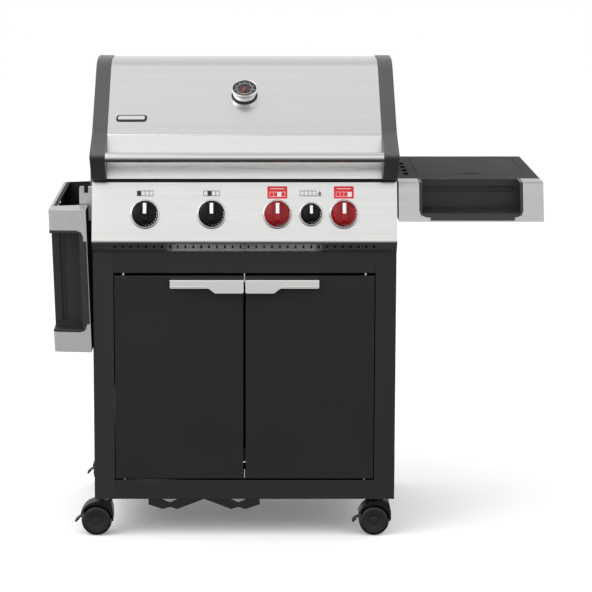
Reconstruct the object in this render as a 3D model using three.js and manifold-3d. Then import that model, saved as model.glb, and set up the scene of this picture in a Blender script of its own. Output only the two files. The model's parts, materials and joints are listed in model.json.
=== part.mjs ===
// Gas barbecue grill: four-burner cook box with a hinged lid on a two-door cabinet cart,
// a fixed right side table with a side burner and a fold-down left side table.
// Millimetres, +Z up, +X to the user's right, +Y away from the user.
// The model is built about the middle of the cart's front and moved to its box centre at the end.

import * as THREE from 'three';
import { mergeVertices } from 'three/addons/utils/BufferGeometryUtils.js';
import Module from 'manifold-3d';

const wasm = await Module();
wasm.setup();

// ---------------------------------------------------------------- driving dimensions

const GAP = 0.3; // clearance between touching pieces
const SHEET = 2; // folded steel sheet

const CART = { half: 367, depth: 515, post: 50, bottom: 94, top: 708, sheetInset: 3 };
const RAIL = { low: 141, high: 656 }; // top of the lower rail, bottom of the upper rail
const DOOR = { inner: 3, outer: 315, depth: 20, bottom: 145, top: 649 };
const DOOR_PIN = { x: 293, y: 8, radius: 2.5 };
const DOOR_HANDLE = { outer: 180, inner: 2, top: 642, thin: 621, deep: 609, standOff: 20 };

const BOX = { half: 366, front: 72, back: 508, bottom: 709, top: 879, wall: 3, floor: 735 };
const TRAY = { half: 150, front: 120, low: 711, high: 731 };
const GRATE = { low: 846.3, high: 856.3, front: 77, back: 503, inner: 1.5, outer: 358 };
const RACK = { outer: 329, front: 300, back: 465, low: 957, high: 963, leg: 397 };
const BURNER = { xs: [-240, -80, 80, 240], z: 780, outer: 11, inner: 9, front: 60, back: 475 };

const PANEL = { top: [18, 876], bend: [-22, 735], foot: [-2, 708.4], lip: 30, end: 71.5 };
const VENT = { count: 17, pitch: 18.9, first: 9.5, width: 4.5, length: 12 };
const KNOB_Z = 800;
const KNOBS = [
  { name: 'burner_1', x: -239, cap: 62, red: false },
  { name: 'burner_2', x: -79, cap: 62, red: false },
  { name: 'burner_3', x: 79, cap: 62, red: true },
  { name: 'side_burner', x: 160, cap: 50, red: false },
  { name: 'burner_4', x: 239, cap: 62, red: true },
];
const STEM = { radius: 4, bore: 5.3, front: 18, back: 34 };
const VALVE = { radius: 10, front: 20, boreEnd: 46, manifold: 54 };

const LID = { bottom: 885, capInner: 331, capWall: 4, hingeY: 490, hingeZ: 896, pin: 4 };
const LID_HANDLE = { y: -62, z: 946, outer: 10.5, inner: 8.5 };
const THERMOMETER = { y: 142, radius: 32.5, height: 26, probe: 3, probeLength: 60 };

const TABLE = { inner: 4, outer: 352.5, top: 875, bottom: 783, front: 85, back: 519 };
const RIM = { foot: -9, head: 18, flange: 84 };
const INSERT = { from: 54, to: 302.5, wall: 6.5, bottom: 787, back: 83 };
const SLOT = { from: 26, to: 38, length: 40, centres: [172, 237, 303, 368] };
const WELL = { from: 58.7, to: 325.3, front: 173.7, back: 480 };
const LEFT_PIVOT = { x: -391, z: 793, u: 21, radius: 4 };
const FOLD_DEG = 91.9;

const WHEEL = { radius: 37.5, trail: 22.5, inner: 6, outer: 22 };
const CASTER_X = 341;
const CASTERS = [
  { name: 'front_left', x: -CASTER_X, y: 26 },
  { name: 'front_right', x: CASTER_X, y: 26 },
  { name: 'rear_left', x: -CASTER_X, y: 488 },
  { name: 'rear_right', x: CASTER_X, y: 488 },
];

// ---------------------------------------------------------------- finishes

const finish = (color, roughness, metalness) =>
  new THREE.MeshStandardMaterial({ color, roughness, metalness });

const CART_PAINT = finish('#38383a', 0.55, 0.2);
const BRUSHED = finish('#c8c8c6', 0.35, 0.9);
const CAST_GREY = finish('#606062', 0.5, 0.3);
const TABLE_PAINT = finish('#5b5657', 0.5, 0.2);
const BLACK_PLASTIC = finish('#222224', 0.5, 0.0);
const RED_KNOB = finish('#be1e24', 0.35, 0.0);
const BLACK_ENAMEL = finish('#1c1c1d', 0.35, 0.1);
const CAST_IRON = finish('#2a2a2b', 0.8, 0.4);
const ZINC = finish('#b4b6b8', 0.4, 0.9);
const WHEEL_RUBBER = finish('#1b1b1c', 0.45, 0.0);

// ---------------------------------------------------------------- solids

function solid(geometry) {
  const bare = geometry.clone();
  bare.deleteAttribute('normal');
  bare.deleteAttribute('uv');
  const merged = mergeVertices(bare, 1e-4);
  const index = [];
  for (let i = 0; i < merged.index.count; i += 3) {
    const [a, b, c] = [0, 1, 2].map((k) => merged.index.getX(i + k));
    if (a !== b && b !== c && c !== a) index.push(a, b, c);
  }
  return new wasm.Manifold(new wasm.Mesh({
    numProp: 3,
    vertProperties: new Float32Array(merged.attributes.position.array),
    triVerts: new Uint32Array(index),
  }));
}

const join = (...solids) => solids.reduce((whole, next) => whole.add(next));
const cut = (whole, ...tools) => tools.reduce((left, tool) => left.subtract(tool), whole);

function box(x0, x1, y0, y1, z0, z1) {
  const shape = new THREE.BoxGeometry(Math.abs(x1 - x0), y1 - y0, z1 - z0);
  shape.translate((x0 + x1) / 2, (y0 + y1) / 2, (z0 + z1) / 2);
  return solid(shape);
}

// A closed outline pushed along one axis: [y, z] along x, [x, z] along y, [x, y] along z.
function prism(outline, axis, from, to) {
  const shape = new THREE.Shape(outline.map(([u, v]) => new THREE.Vector2(u, v)));
  const low = Math.min(from, to);
  const high = Math.max(from, to);
  const body = new THREE.ExtrudeGeometry(shape, { depth: high - low, bevelEnabled: false });
  if (axis === 'x') {
    body.applyMatrix4(new THREE.Matrix4().set(0, 0, 1, low, 1, 0, 0, 0, 0, 1, 0, 0, 0, 0, 0, 1));
  } else if (axis === 'y') {
    body.rotateX(Math.PI / 2);
    body.translate(0, high, 0);
  } else {
    body.translate(0, 0, low);
  }
  return solid(body);
}

// Turns a body whose axis is +Y so that it starts at one point and runs towards another.
function aim(body, start, direction) {
  const turn = new THREE.Quaternion();
  turn.setFromUnitVectors(new THREE.Vector3(0, 1, 0), direction.clone().normalize());
  body.applyQuaternion(turn);
  body.translate(start.x, start.y, start.z);
  return solid(body);
}

function rod(a, b, radius, sides = 12) {
  const start = new THREE.Vector3(...a);
  const along = new THREE.Vector3(...b).sub(start);
  const body = new THREE.CylinderGeometry(radius, radius, along.length(), sides);
  body.translate(0, along.length() / 2, 0);
  return aim(body, start, along);
}

// A profile of [radius, height] turned about the line from a point along a direction.
function turned(profile, start, direction, sides = 20) {
  const points = profile.map(([r, h]) => new THREE.Vector2(r, h));
  return aim(new THREE.LatheGeometry(points, sides), start, direction);
}

// Moves every edge of an anticlockwise outline inwards by a distance.
function inset(outline, distance) {
  return outline.map((point, i) => {
    const before = outline[(i + outline.length - 1) % outline.length];
    const after = outline[(i + 1) % outline.length];
    const a = new THREE.Vector2(point[0] - before[0], point[1] - before[1]).normalize();
    const b = new THREE.Vector2(after[0] - point[0], after[1] - point[1]).normalize();
    const normalA = new THREE.Vector2(-a.y, a.x);
    const normalB = new THREE.Vector2(-b.y, b.x);
    const scale = distance / (1 + normalA.dot(normalB));
    return [point[0] + (normalA.x + normalB.x) * scale, point[1] + (normalA.y + normalB.y) * scale];
  });
}

// A strip of sheet of one thickness to the left of an open line of points.
function strip(line, thickness) {
  const left = line.map((point, i) => {
    const before = line[Math.max(i - 1, 0)];
    const after = line[Math.min(i + 1, line.length - 1)];
    const a = new THREE.Vector2(point[0] - before[0], point[1] - before[1]).normalize();
    const b = new THREE.Vector2(after[0] - point[0], after[1] - point[1]).normalize();
    if (i === 0) a.copy(b);
    if (i === line.length - 1) b.copy(a);
    const scale = thickness / (1 + a.dot(b));
    return [point[0] - (a.y + b.y) * scale, point[1] + (a.x + b.x) * scale];
  });
  return [...line, ...left.reverse()];
}

const mirrorX = (outline) => outline.map(([u, v]) => [-u, v]).reverse();

const grill = new THREE.Group();

function piece(name, body, material, parent = grill, mirrored = false) {
  const mesh = body.asOriginal().getMesh();
  const geometry = new THREE.BufferGeometry();
  geometry.setAttribute('position', new THREE.BufferAttribute(mesh.vertProperties, 3));
  geometry.setIndex(Array.from(mirrored ? mesh.triVerts.toReversed() : mesh.triVerts));
  if (mirrored) geometry.scale(-1, 1, 1);
  geometry.computeVertexNormals();
  const node = new THREE.Mesh(geometry, material);
  node.name = name;
  parent.add(node);
}

// ---------------------------------------------------------------- cart

function sideFrame(side) {
  const { half, depth, post, bottom, top } = CART;
  const x = (distance) => side * distance;
  const tube = (front, back) => cut(
    box(x(half - post), x(half), front, back, bottom, top),
    box(x(half - post + SHEET), x(half - SHEET), front + SHEET, back - SHEET, bottom + 3, top + 1),
  );
  const sheetOut = half - CART.sheetInset;
  const sheet = box(x(sheetOut - SHEET), x(sheetOut), post - 1, depth - post + 1, bottom + 1, top - 1);
  return join(tube(0, post), tube(depth - post, depth), sheet);
}

function channel(low, high) {
  const section = [
    [0, low], [CART.post, low], [CART.post, low + SHEET], [SHEET, low + SHEET],
    [SHEET, high - SHEET], [CART.post, high - SHEET], [CART.post, high], [0, high],
  ];
  const reach = CART.half - CART.post - GAP;
  return prism(section, 'x', -reach, reach);
}

const BOTTLE = { x: -100, y: 250, radius: 125 };

function basePanel() {
  const reach = CART.half - CART.sheetInset - SHEET - GAP;
  const front = CART.post + GAP;
  const back = CART.depth - CART.post - GAP;
  const top = RAIL.low;
  return cut(
    box(-reach, reach, front, back, top - 20, top),
    box(-reach + SHEET, reach - SHEET, front + SHEET, back - SHEET, top - 21, top - SHEET),
    rod([BOTTLE.x, BOTTLE.y, top - 30], [BOTTLE.x, BOTTLE.y, top + 5], BOTTLE.radius, 32),
  );
}

function backPanel() {
  const reach = CART.half - CART.post - GAP;
  const y = CART.depth - 10;
  const sheet = box(-reach, reach, y, y + SHEET, CART.bottom, CART.top - 1);
  const window = box(-290, -200, y - 5, y + 5, 160, 260); // way in for the gas hose
  const foot = box(-reach, reach, y - 30, y + 1, CART.bottom, CART.bottom + SHEET);
  const head = box(-reach, reach, y - 30, y + 1, CART.top - 1 - SHEET, CART.top - 1);
  return join(cut(sheet, window), foot, head);
}

// Folded cross straps under the floor that carry the gas bottle.
function bottleCradle() {
  const reach = 138;
  const hang = RAIL.low - 20 - GAP;
  const low = 52;
  const corner = 64;
  const right = [[0, 78], [67, low], [83.5, 57.5], [103, low], [reach, corner], [reach, hang]];
  const left = mirrorX(right.slice(1));
  const outline = [...left, ...right].map(([u, z]) => [u + BOTTLE.x, z]);
  const light = (u) => [[u, 69], [u + 35, 85], [u - 35, 85]].map(([a, z]) => [a + BOTTLE.x, z]);
  const strap = (y) => cut(
    prism(outline, 'y', y, y + 3),
    prism(light(85), 'y', y - 1, y + 4),
    prism(light(-85), 'y', y - 1, y + 4),
  );
  const front = 58;
  const back = 398;
  const rail = (u) => box(BOTTLE.x + u, BOTTLE.x + u + 3, front, back + 3, corner, 90);
  const seat = (y) => box(BOTTLE.x - reach, BOTTLE.x + reach, y, y + 40, corner, corner + 3);
  return join(strap(front), strap(back), rail(-reach), rail(reach - 3), seat(150), seat(300));
}

function doorShell(side) {
  const x = (distance) => side * distance;
  const { inner, outer, depth, bottom, top } = DOOR;
  const pin = (z0, z1) => rod([x(DOOR_PIN.x), DOOR_PIN.y, z0], [x(DOOR_PIN.x), DOOR_PIN.y, z1],
    DOOR_PIN.radius, 12);
  return join(
    cut(
      box(x(inner), x(outer), 0, depth, bottom, top),
      box(x(inner + SHEET), x(outer - SHEET), SHEET, depth + 1, bottom + SHEET, top - SHEET),
    ),
    pin(top - 1, RAIL.high - GAP),
    pin(RAIL.low + GAP, bottom + 1),
  );
}

function doorHandle(side) {
  const { outer, inner, top, thin, deep, standOff } = DOOR_HANDLE;
  const right = [
    [inner, deep + 3], [inner + 3, deep], [70, deep], [74, deep + 2], [84, thin - 2], [88, thin],
    [outer - 2, thin], [outer, thin + 2], [outer, top - 2], [outer - 2, top], [inner, top],
  ];
  const outline = side > 0 ? right : mirrorX(right);
  const hood = box(side * inner, side * outer, -standOff, -GAP, top - SHEET, top);
  const lip = box(side * 90, side * (outer - 2), -standOff, -standOff + 7, thin, thin + SHEET);
  return join(prism(outline, 'y', -standOff, -standOff + SHEET), hood, lip);
}

piece('side_frame_left', sideFrame(-1), CART_PAINT);
piece('side_frame_right', sideFrame(1), CART_PAINT);
piece('front_top_rail', channel(RAIL.high, CART.top), CART_PAINT);
piece('front_bottom_rail', channel(CART.bottom, RAIL.low), CART_PAINT);
piece('base_panel', basePanel(), CART_PAINT);
piece('back_panel', backPanel(), CART_PAINT);
piece('bottle_cradle', bottleCradle(), CART_PAINT);
for (const [word, side] of [['left', -1], ['right', 1]]) {
  piece(`door_${word}`, doorShell(side), CART_PAINT);
  piece(`door_handle_${word}`, doorHandle(side), BRUSHED);
}

// ---------------------------------------------------------------- cook box

function fireBox() {
  const { half, front, back, bottom, top, wall, floor } = BOX;
  const inX = half - wall;
  const inFront = front + wall;
  const inBack = back - wall;
  const shell = cut(
    box(-half, half, front, back, bottom, top),
    box(-inX, inX, inFront, inBack, floor + wall, top + 1),
    box(-inX, inX, inFront, inBack, bottom - 1, floor),
    box(-TRAY.half - 2, TRAY.half + 2, inBack - 1, back + 1, bottom - 1, TRAY.high + 2),
    box(-45, 45, 250, 330, floor - 1, floor + wall + 1),
    ...BURNER.xs.map((x) => rod([x, front - 5, BURNER.z], [x, inFront + 5, BURNER.z], 12.5)),
  );
  const parts = [
    box(-half, half, PANEL.top[0] + 4, front + 1, PANEL.top[1] + GAP, top),
    box(-inX - 1, inX + 1, inFront - 1, GRATE.front + 6, GRATE.low - GAP - wall, GRATE.low - GAP),
    box(-inX - 1, inX + 1, GRATE.back - 6, inBack + 1, GRATE.low - GAP - wall, GRATE.low - GAP),
    box(-320, 320, LID.hingeY + 6, inBack + 1, top - wall, top),
    box(-320, 320, LID.hingeY + 6, LID.hingeY + 9, top - wall, LID.hingeZ + 16),
  ];
  for (const side of [-1, 1]) {
    const x = (distance) => side * distance;
    const rail = [
      [x(TRAY.half + GAP), TRAY.low - GAP], [x(TRAY.half - 8), TRAY.low - GAP],
      [x(TRAY.half - 8), bottom], [x(TRAY.half + 3), bottom],
      [x(TRAY.half + 3), floor + 1], [x(TRAY.half + GAP), floor + 1],
    ];
    parts.push(prism(side > 0 ? rail : [...rail].reverse(), 'y', TRAY.front, inBack - 1));
    parts.push(box(x(RACK.outer - 7), x(inX + 1), RACK.leg - 5, RACK.leg + 15, 858, 861));
    parts.push(box(x(322), x(328), LID.hingeY - 10, LID.hingeY + 6, top - 12, LID.hingeZ + 7));
    parts.push(box(x(322), x(inX + 1), LID.hingeY - 10, LID.hingeY + 6, top - 15, top - 12));
    parts.push(rod([x(325), LID.hingeY, LID.hingeZ], [x(346), LID.hingeY, LID.hingeZ], LID.pin));
  }
  return join(shell, ...parts);
}

function slotted(plate, xs, width, y0, y1, z0, z1) {
  return cut(plate, ...xs.map((x) => box(x, x + width, y0, y1, z0, z1)));
}

const spread = (first, pitch, count) => Array.from({ length: count }, (_, i) => first + i * pitch);

function grate(side) {
  const { low, high, front, back, inner, outer } = GRATE;
  const from = Math.min(side * inner, side * outer);
  const bar = 9.5;
  const count = 17;
  const pitch = (outer - inner - bar) / count;
  return slotted(
    box(from, from + outer - inner, front, back, low, high),
    spread(from + bar, pitch, count), pitch - bar, front + 12, back - 12, low - 1, high + 1,
  );
}

function warmingRack() {
  const count = 16;
  const wire = 6;
  const pitch = (2 * RACK.outer - wire) / count;
  const shelf = slotted(
    box(-RACK.outer, RACK.outer, RACK.front, RACK.back, RACK.low, RACK.high),
    spread(-RACK.outer + wire, pitch, count), pitch - wire,
    RACK.front + wire, RACK.back - wire, RACK.low - 1, RACK.high + 1,
  );
  const leg = (side) => box(side * (RACK.outer - 6), side * RACK.outer, RACK.leg, RACK.leg + 10,
    861 + GAP, RACK.low + 1);
  return join(shelf, leg(-1), leg(1));
}

function greaseTray() {
  const y1 = BOX.back + 1;
  return join(
    cut(
      box(-TRAY.half, TRAY.half, TRAY.front, y1, TRAY.low, TRAY.high),
      box(-TRAY.half + SHEET, TRAY.half - SHEET, TRAY.front + SHEET, y1 - SHEET,
        TRAY.low + SHEET, TRAY.high + 1),
    ),
    box(-TRAY.half - 12, TRAY.half + 12, y1 - 0.5, y1 + SHEET, TRAY.low - 1, TRAY.high + 8),
    box(-60, 60, y1 + 1, y1 + 9, TRAY.high + 6, TRAY.high + 8),
  );
}

piece('firebox', fireBox(), CAST_GREY);
for (const [i, x] of BURNER.xs.entries()) {
  piece(`main_burner_${i + 1}`, cut(
    rod([x, BURNER.front, BURNER.z], [x, BURNER.back, BURNER.z], BURNER.outer),
    rod([x, BURNER.front - 1, BURNER.z], [x, BURNER.back + 1, BURNER.z], BURNER.inner),
  ), BRUSHED);
}
piece('cooking_grate_left', grate(-1), CAST_IRON);
piece('cooking_grate_right', grate(1), CAST_IRON);
piece('warming_rack', warmingRack(), ZINC);
piece('grease_tray', greaseTray(), ZINC);

// ---------------------------------------------------------------- control panel, gas valves, knobs

const panelRun = new THREE.Vector2(PANEL.top[0] - PANEL.bend[0], PANEL.top[1] - PANEL.bend[1]);
const outward = new THREE.Vector3(0, -panelRun.y, panelRun.x).normalize();
const faceY = PANEL.bend[0] + (panelRun.x / panelRun.y) * (KNOB_Z - PANEL.bend[1]);

// A point on a knob's axis: the height is measured outwards from the panel face.
const onAxis = (x, height) => new THREE.Vector3(x, faceY, KNOB_Z).addScaledVector(outward, height);
const axisRod = (x, low, high, radius, sides) =>
  rod(onAxis(x, low).toArray(), onAxis(x, high).toArray(), radius, sides);

function controlPanel() {
  const { half } = CART;
  const line = [[PANEL.lip, PANEL.top[1]], PANEL.top, PANEL.bend, PANEL.foot];
  const sheet = prism(strip(line, SHEET), 'x', -half, half);
  const end = [PANEL.top, PANEL.bend, PANEL.foot, [PANEL.end, PANEL.foot[1]], [PANEL.end, PANEL.top[1]]];
  const ends = [-1, 1].map((side) => prism(end, 'x', side * (half - SHEET), side * half));
  const fold = new THREE.Vector2(PANEL.foot[0] - PANEL.bend[0], PANEL.foot[1] - PANEL.bend[1]);
  const middle = [PANEL.bend[0] + fold.x / 2, PANEL.bend[1] + fold.y / 2];
  const slots = [];
  for (const side of [-1, 1]) {
    for (const x of spread(VENT.first, VENT.pitch, VENT.count)) {
      const slot = new THREE.BoxGeometry(VENT.width, 12, VENT.length);
      slot.rotateX(Math.atan2(fold.x, -fold.y));
      slot.translate(side * x, ...middle);
      slots.push(solid(slot));
    }
  }
  const stems = KNOBS.map(({ x }) => axisRod(x, -8, 4, STEM.radius + 2, 12));
  return cut(join(sheet, ...ends), ...slots, ...stems);
}

function gasManifold() {
  const pipe = onAxis(0, -VALVE.manifold);
  const run = rod([-300, pipe.y, pipe.z], [345, pipe.y, pipe.z], 9);
  const valves = KNOBS.map(({ x }) => axisRod(x, -VALVE.manifold, -VALVE.front, VALVE.radius, 12));
  const bores = KNOBS.map(({ x }) => axisRod(x, -VALVE.boreEnd, -VALVE.front + 1, STEM.bore, 12));
  return cut(join(run, ...valves), ...bores);
}

const KNOB_BASE = 5.5; // clear of the panel by more than the push travel

function knob({ x, cap }) {
  const r = cap / 2;
  const low = KNOB_BASE;
  const top = low + 16;
  const body = turned([
    [0, low], [r, low], [r, low + 6], [r - 1.5, low + 8], [r - 4, top - 2], [r - 6, top], [0, top],
  ], onAxis(x, 0), outward);
  const ridge = new THREE.BoxGeometry(14, 24, 2 * r - 3);
  ridge.translate(0, low + 5 + 12, 0);
  const turn = new THREE.Quaternion().setFromUnitVectors(new THREE.Vector3(0, 1, 0), outward);
  ridge.applyQuaternion(turn);
  ridge.translate(...onAxis(x, 0).toArray());
  const bore = axisRod(x, low - 1, STEM.front + 1, STEM.radius + GAP, 12);
  return cut(join(body, solid(ridge)), bore);
}

piece('control_panel', controlPanel(), BRUSHED);
piece('gas_manifold', gasManifold(), ZINC);
for (const item of KNOBS) {
  piece(`valve_stem_${item.name}`, axisRod(item.x, -STEM.back, STEM.front, STEM.radius, 12), ZINC);
  piece(`knob_${item.name}`, knob(item), item.red ? RED_KNOB : BLACK_PLASTIC);
}

// ---------------------------------------------------------------- lid

// The top of the lid in [y, z]: up from the sloping front, along the flat and down to the back.
function crown(start, flat, back, steps) {
  const rise = [start, [start[0] + 32, flat[1]], [flat[0] - 50, flat[1]]];
  const fall = [flat, [flat[0] + 92, flat[1]], [back[0] - 4, back[1] + 110], back];
  const points = (list) => list.map((p) => new THREE.Vector2(...p));
  const take = (curve, count) => curve.getPoints(count).map((p) => [p.x, p.y]);
  return [
    ...take(new THREE.QuadraticBezierCurve(...points(rise)), steps),
    ...take(new THREE.CubicBezierCurve(...points(fall)), 2 * steps),
  ];
}

// The side outlines of the lid in [y, z], anticlockwise from the front foot along the bottom.
const capOutline = [
  [-14, LID.bottom], [500, LID.bottom], [503, 900], [509, 918],
  ...crown([215, 1129], [350, 1153], [507, 1005], 4).reverse(),
  [32, 993], [-78, 952], [-75, 943],
];

const skinLine = [
  [506, 918],
  ...crown([213, 1125], [350, 1150], [504, 1005], 4).reverse(),
  [31, 989], [2, LID.bottom],
];
const SKIN_BEND = skinLine[skinLine.length - 2];
const SKIN_HEAD = skinLine[skinLine.length - 3];

function lidCap(side) {
  const x = (distance) => side * distance;
  const { capInner, capWall, hingeY, hingeZ, pin } = LID;
  const dish = cut(
    prism(capOutline, 'x', x(capInner), x(CART.half)),
    prism(inset(capOutline, capWall), 'x', x(capInner - 1), x(CART.half - capWall)),
  );
  const web = prism([
    [-14, LID.bottom], [12, LID.bottom], [39, 992], [34, 994], [32, 993], [-78, 952], [-75, 943],
  ], 'x', x(capInner), x(capInner + 3));
  const hinge = prism([
    [470, LID.bottom], [500, LID.bottom], [503, 900], [509, 918], [508.7, 928], [470, 928],
  ], 'x', x(capInner), x(capInner + 3));
  const hole = rod([x(capInner - 2), hingeY, hingeZ], [x(capInner + 16), hingeY, hingeZ], pin + 0.5);
  return cut(join(dish, web, hinge), hole);
}

const slope = new THREE.Vector2(SKIN_HEAD[0] - SKIN_BEND[0], SKIN_HEAD[1] - SKIN_BEND[1]).normalize();
const lidNormal = new THREE.Vector3(0, -slope.y, slope.x);
const gaugeSeat = new THREE.Vector3(
  0, THERMOMETER.y, SKIN_BEND[1] + (slope.y / slope.x) * (THERMOMETER.y - SKIN_BEND[0]),
);
const onGauge = (height) => gaugeSeat.clone().addScaledVector(lidNormal, height);

function lidSkin() {
  const reach = LID.capInner - GAP;
  const hole = rod(onGauge(-10).toArray(), onGauge(5).toArray(), THERMOMETER.probe + 1, 12);
  return cut(prism(strip(skinLine, SHEET), 'x', -reach, reach), hole);
}

function thermometer() {
  const { radius, height, probe, probeLength } = THERMOMETER;
  return turned([
    [0, -probeLength], [probe, -probeLength], [probe, GAP], [radius - 6, GAP], [radius - 4, 6],
    [radius, height - 7], [radius, height - 2], [radius - 2, height], [radius - 5, height],
    [radius - 5, height - 4], [0, height - 4],
  ], gaugeSeat, lidNormal);
}

function lidHandle() {
  const { y, z, outer, inner } = LID_HANDLE;
  const reach = LID.capInner - GAP;
  return cut(rod([-reach, y, z], [reach, y, z], outer), rod([-reach - 1, y, z], [reach + 1, y, z], inner));
}

piece('lid_skin', lidSkin(), BRUSHED);
piece('lid_cap_left', lidCap(-1), CAST_GREY);
piece('lid_cap_right', lidCap(1), CAST_GREY);
piece('lid_handle', lidHandle(), BRUSHED);
piece('thermometer', thermometer(), BRUSHED);

// ---------------------------------------------------------------- side tables

// A table is built pointing right: u is the distance out from the cart's side.
function tableTray(hasBurner, pivotHoles) {
  const { inner, outer, top, bottom, front, back } = TABLE;
  const pan = cut(
    box(inner, outer, front, back, bottom, top),
    box(inner - 1, outer - SHEET, front + SHEET, back - SHEET, bottom - 1, top - SHEET),
    ...SLOT.centres.map((y) => box(SLOT.from, SLOT.to, y - SLOT.length / 2, y + SLOT.length / 2,
      top - 5, top + 1)),
  );
  const flange = box(inner, inner + SHEET, front, back, top - 17, top);
  const tools = [];
  if (hasBurner) tools.push(box(WELL.from, WELL.to, WELL.front, WELL.back, top - 5, top + 1));
  if (pivotHoles) {
    const { u, z, radius } = LEFT_PIVOT;
    tools.push(rod([u, front - 1, z], [u, front + 3, z], radius + 0.5));
    tools.push(rod([u, back - 3, z], [u, back + 1, z], radius + 0.5));
  }
  return cut(join(pan, flange), ...tools);
}

// How far forward the rim's sloping face is at a height.
function rimFace(z) {
  const lean = (RIM.head - 3.6 - RIM.foot) / (TABLE.top - 10 - TABLE.bottom);
  return RIM.foot + (z - TABLE.bottom) * lean;
}

function tableRim() {
  const { inner, outer, top, bottom } = TABLE;
  const line = [
    [RIM.flange, top], [RIM.head + 6, top], [RIM.head, top - 2.5], [RIM.head - 3.6, top - 10],
    [RIM.foot, bottom],
  ];
  const sheet = prism(strip(line, SHEET), 'x', inner, outer);
  const end = [...line, [RIM.flange, bottom]];
  const ends = [inner, outer - SHEET].map((u) => prism(end, 'x', u, u + SHEET));
  const floor = INSERT.bottom + 6;
  const mouth = prism([
    [INSERT.from - 0.5, top + 5], [INSERT.from - 0.5, floor + 15], [INSERT.from + 4, floor + 4],
    [INSERT.from + 15, floor], [INSERT.to - 15, floor], [INSERT.to - 4, floor + 4],
    [INSERT.to + 0.5, floor + 15], [INSERT.to + 0.5, top + 5],
  ], 'y', RIM.foot - 10, RIM.flange + 1);
  return cut(join(sheet, ...ends), mouth);
}

function tableInsert() {
  const { from, to, wall, bottom, back } = INSERT;
  const { top } = TABLE;
  const floor = bottom + 6.6;
  const shell = prism([
    [from, top], [from, floor + 15], [from + 4.5, floor + 4.4], [from + 15, floor],
    [to - 15, floor], [to - 4.5, floor + 4.4], [to, floor + 15], [to, top],
  ], 'y', RIM.foot - 10, back);
  const front = prism([
    [RIM.foot - 40, bottom - 20], [RIM.foot - 3.5 + 1.8, bottom], [RIM.head - 2, top + 1],
    [RIM.foot - 40, top + 1],
  ], 'x', from - 5, to + 5);
  const cavity = prism([
    [RIM.foot - 40, bottom + 11.5], [back - 18, bottom + 20], [back - 18, bottom + 54],
    [back - 4, bottom + 54], [back - 4, bottom + 71], [back - 4, top + 5], [RIM.foot - 40, top + 5],
  ], 'x', from + wall, to - wall);
  const slot = box(from + 14, to - 14, back - 20, back + 1, bottom + 56, bottom + 69);
  const lip = prism([
    [RIM.foot - 4, bottom], [rimFace(bottom) - 0.5, bottom], [rimFace(floor) - 0.5, floor],
    [4, floor], [4, bottom + 11], [RIM.foot, bottom + 11],
  ], 'x', from + 26, to - 20);
  return join(cut(shell, front, cavity, slot), lip);
}

function sideBurner() {
  const deck = TABLE.top - SHEET - GAP;
  const low = 812;
  const u0 = WELL.from + 3.5;
  const u1 = WELL.to - 3.5;
  const y0 = WELL.front + 3.5;
  const y1 = WELL.back - 3.5;
  const pan = cut(
    join(
      box(u0, u1, y0, y1, low, deck),
      box(WELL.from - 8, WELL.to + 8, WELL.front - 8, WELL.back + 8, deck - SHEET, deck),
    ),
    box(u0 + SHEET, u1 - SHEET, y0 + SHEET, y1 - SHEET, low + SHEET, deck + 1),
  );
  const middle = new THREE.Vector3((WELL.from + WELL.to) / 2, (WELL.front + WELL.back) / 2, low);
  const head = turned([[0, 1], [48, 1], [48, 8], [36, 12], [36, 20], [40, 22], [40, 27], [34, 30], [0, 30]],
    middle, new THREE.Vector3(0, 0, 1));
  return join(pan, head);
}

function sideBurnerGrate() {
  const [low, high] = [851, 861];
  const foot = 812 + SHEET + GAP;
  const [u0, u1, y0, y1] = [WELL.from + 8, WELL.to - 8, WELL.front + 8, WELL.back - 8];
  const bar = 7;
  const parts = [];
  for (const t of [0.33, 0.67]) {
    const y = y0 + t * (y1 - y0);
    const u = u0 + t * (u1 - u0);
    parts.push(box(u0, u1, y - bar / 2, y + bar / 2, low, high));
    parts.push(box(u - bar / 2, u + bar / 2, y0, y1, low, high));
    for (const end of [u0, u1 - bar]) {
      parts.push(box(end, end + bar, y - bar / 2, y + bar / 2, foot, low + 1));
    }
  }
  return join(...parts);
}

function sideBurnerCover() {
  const side = 0.8;
  const sheet = box(WELL.from + side, WELL.to - side, WELL.front + side, WELL.back - side,
    TABLE.top - SHEET, TABLE.top);
  const notch = { half: 29, depth: 15 };
  const radius = (notch.half ** 2 + notch.depth ** 2) / (2 * notch.depth);
  const u = (WELL.from + WELL.to) / 2;
  const y = WELL.front + side + notch.depth - radius;
  return cut(sheet, rod([u, y, TABLE.top - 5], [u, y, TABLE.top + 5], radius, 48));
}

// Plate on the cart's side that carries one end of the folding table's pivot.
function tableBracket(y, pinFrom, pinTo) {
  const wall = -CART.half - GAP;
  const [low, high] = [770, 855];
  const plate = prism([
    [wall, low], [wall, high], [wall - 14, high], [wall - 14, high - 17], [wall - 24, high - 17],
    [wall - 24, high], [wall - 33, high], [wall - 36, high - 4], [wall - 36, low + 10],
    [wall - 28, low],
  ].reverse(), 'y', y, y + 3);
  const foot = box(wall - 3, wall, y - 22, y + 3, low, high);
  const { x, z, radius } = LEFT_PIVOT;
  return join(plate, foot, rod([x, pinFrom, z], [x, pinTo, z], radius));
}

const rightTable = new THREE.Group();
rightTable.position.set(CART.half, 0, 0);
grill.add(rightTable);
piece('right_table_top', tableTray(true, false), TABLE_PAINT, rightTable);
piece('right_table_rim', tableRim(), BRUSHED, rightTable);
piece('right_table_insert', tableInsert(), BLACK_PLASTIC, rightTable);
piece('side_burner', sideBurner(), BLACK_ENAMEL, rightTable);
piece('side_burner_grate', sideBurnerGrate(), CAST_IRON, rightTable);
piece('side_burner_cover', sideBurnerCover(), TABLE_PAINT, rightTable);

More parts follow.
